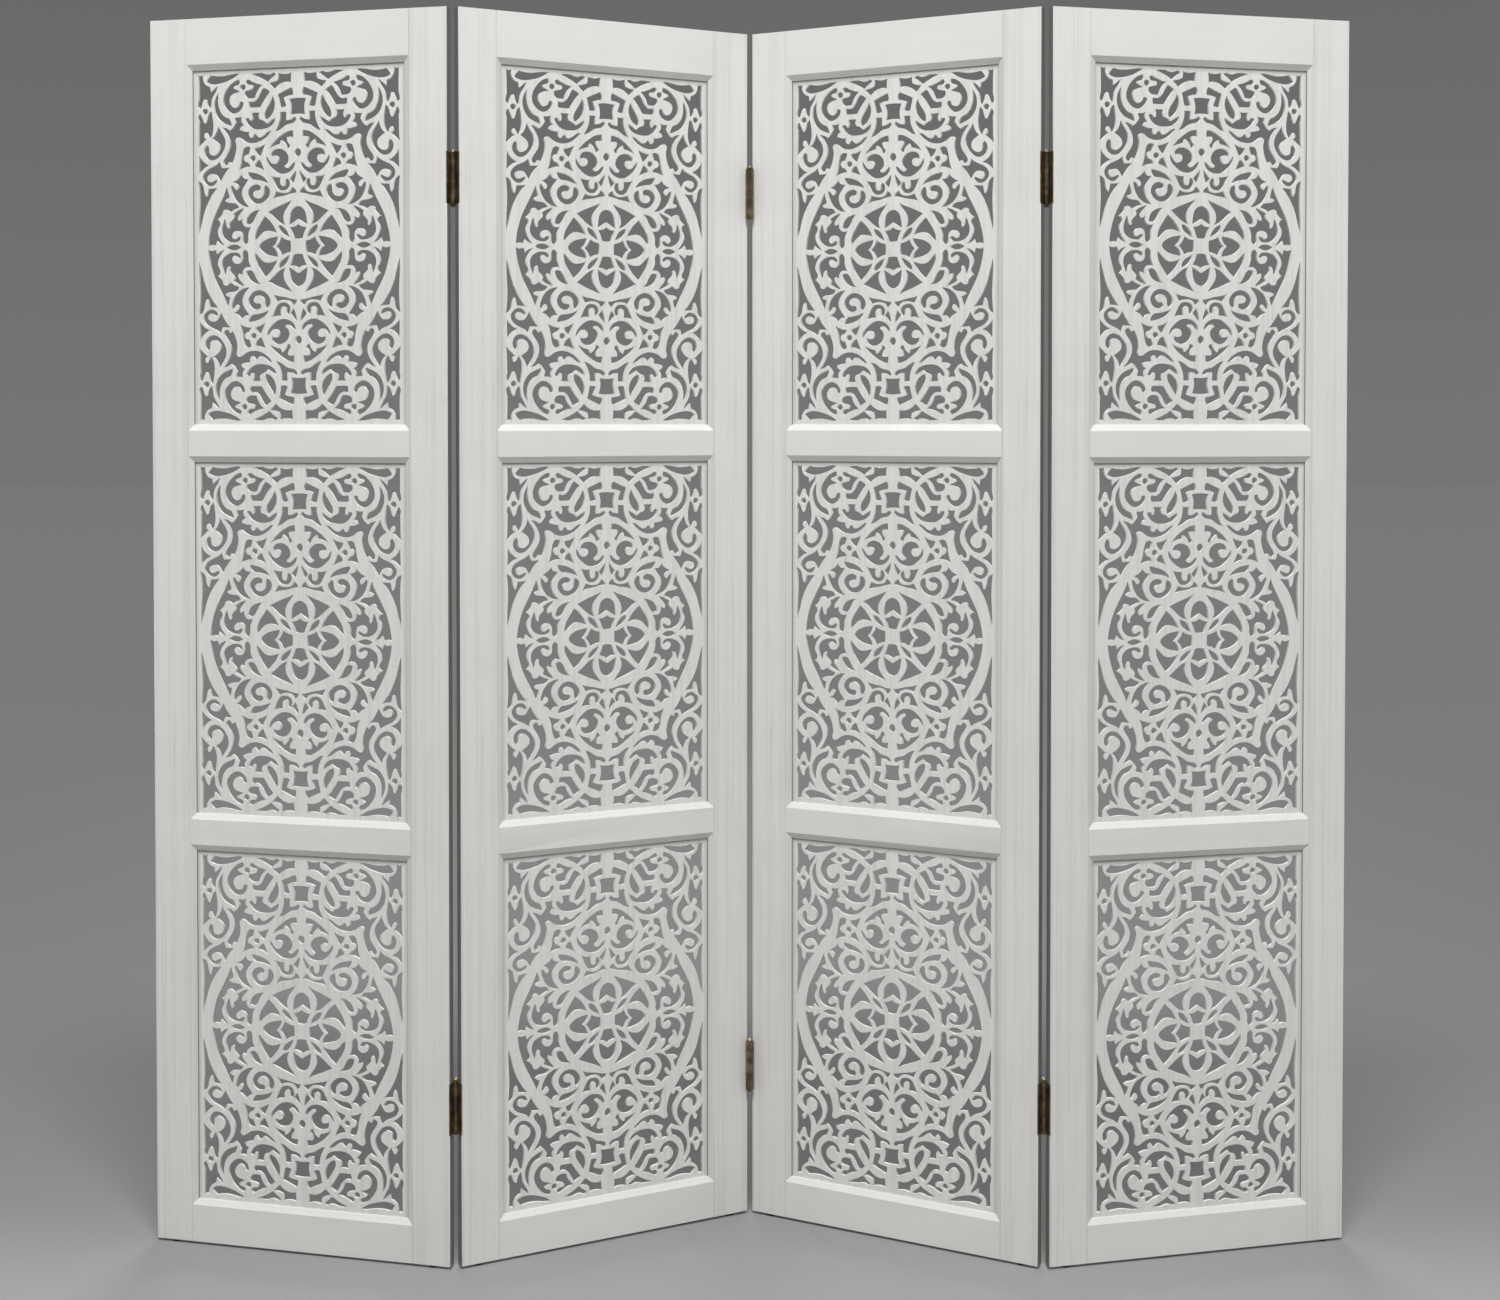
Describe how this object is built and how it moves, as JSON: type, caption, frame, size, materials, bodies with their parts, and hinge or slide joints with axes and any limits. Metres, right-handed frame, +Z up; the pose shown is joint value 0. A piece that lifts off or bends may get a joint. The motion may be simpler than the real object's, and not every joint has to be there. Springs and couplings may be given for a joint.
{
  "type": "folding screen",
  "caption": "Free-standing folding screen of hinged, white painted wooden leaves with pierced jali fretwork plates set in bevelled frames.",
  "frame": {"origin": "on the floor, below the middle of the opened screen's bounding box", "axes": "+Z up, +X to the viewer's right along the screen, -Y towards the viewer"},
  "size_m": [1.7888, 0.2399, 1.833],
  "materials": {
    "frame_paint": "satin white paint over fine wood grain",
    "panel_paint": "satin white paint on cut fretwork",
    "hinge_brass": "antique brass, aged dark",
    "glide_plastic": "black plastic"
  },
  "bodies": {
    "leaf_1": {"leaf_1_stile_left": "frame_paint", "leaf_1_stile_right": "frame_paint", "leaf_1_rail_bottom": "frame_paint", "leaf_1_rail_lower": "frame_paint", "leaf_1_rail_upper": "frame_paint", "leaf_1_rail_top": "frame_paint", "leaf_1_jali_lower": "panel_paint", "leaf_1_jali_middle": "panel_paint", "leaf_1_jali_upper": "panel_paint", "leaf_1_hinge_screws": "hinge_brass", "leaf_1_glides": "glide_plastic", "leaf_1_flap_left_lower": "hinge_brass", "leaf_1_flap_left_upper": "hinge_brass", "left_hinge_pins": "hinge_brass"},
    "leaf_2": {"leaf_2_stile_left": "frame_paint", "leaf_2_stile_right": "frame_paint", "leaf_2_rail_bottom": "frame_paint", "leaf_2_rail_lower": "frame_paint", "leaf_2_rail_upper": "frame_paint", "leaf_2_rail_top": "frame_paint", "leaf_2_jali_lower": "panel_paint", "leaf_2_jali_middle": "panel_paint", "leaf_2_jali_upper": "panel_paint", "leaf_2_hinge_screws": "hinge_brass", "leaf_2_glides": "glide_plastic", "leaf_2_flap_left_lower": "hinge_brass", "leaf_2_flap_left_upper": "hinge_brass", "leaf_2_flap_middle_lower": "hinge_brass", "leaf_2_flap_middle_upper": "hinge_brass", "middle_hinge_pins": "hinge_brass"},
    "leaf_3": {"leaf_3_stile_left": "frame_paint", "leaf_3_stile_right": "frame_paint", "leaf_3_rail_bottom": "frame_paint", "leaf_3_rail_lower": "frame_paint", "leaf_3_rail_upper": "frame_paint", "leaf_3_rail_top": "frame_paint", "leaf_3_jali_lower": "panel_paint", "leaf_3_jali_middle": "panel_paint", "leaf_3_jali_upper": "panel_paint", "leaf_3_hinge_screws": "hinge_brass", "leaf_3_glides": "glide_plastic", "leaf_3_flap_middle_lower": "hinge_brass", "leaf_3_flap_middle_upper": "hinge_brass", "leaf_3_flap_right_lower": "hinge_brass", "leaf_3_flap_right_upper": "hinge_brass", "right_hinge_pins": "hinge_brass"},
    "leaf_4": {"leaf_4_stile_left": "frame_paint", "leaf_4_stile_right": "frame_paint", "leaf_4_rail_bottom": "frame_paint", "leaf_4_rail_lower": "frame_paint", "leaf_4_rail_upper": "frame_paint", "leaf_4_rail_top": "frame_paint", "leaf_4_jali_lower": "panel_paint", "leaf_4_jali_middle": "panel_paint", "leaf_4_jali_upper": "panel_paint", "leaf_4_hinge_screws": "hinge_brass", "leaf_4_glides": "glide_plastic", "leaf_4_flap_right_lower": "hinge_brass", "leaf_4_flap_right_upper": "hinge_brass"}
  },
  "joints": [
    {"name": "middle_fold", "type": "hinge", "parent": "leaf_2", "child": "leaf_3", "pos_m": [0, 0.10135, 0], "axis": [0, 0, 1], "range_deg": [-123.2, 56.8]},
    {"name": "left_fold", "type": "hinge", "parent": "leaf_2", "child": "leaf_1", "pos_m": [-0.43037, -0.09929, 0], "axis": [0, 0, 1], "range_deg": [-137.4, 42.6]},
    {"name": "right_fold", "type": "hinge", "parent": "leaf_3", "child": "leaf_4", "pos_m": [0.43037, -0.09929, 0], "axis": [0, 0, 1], "range_deg": [-42.6, 137.4]}
  ]
}
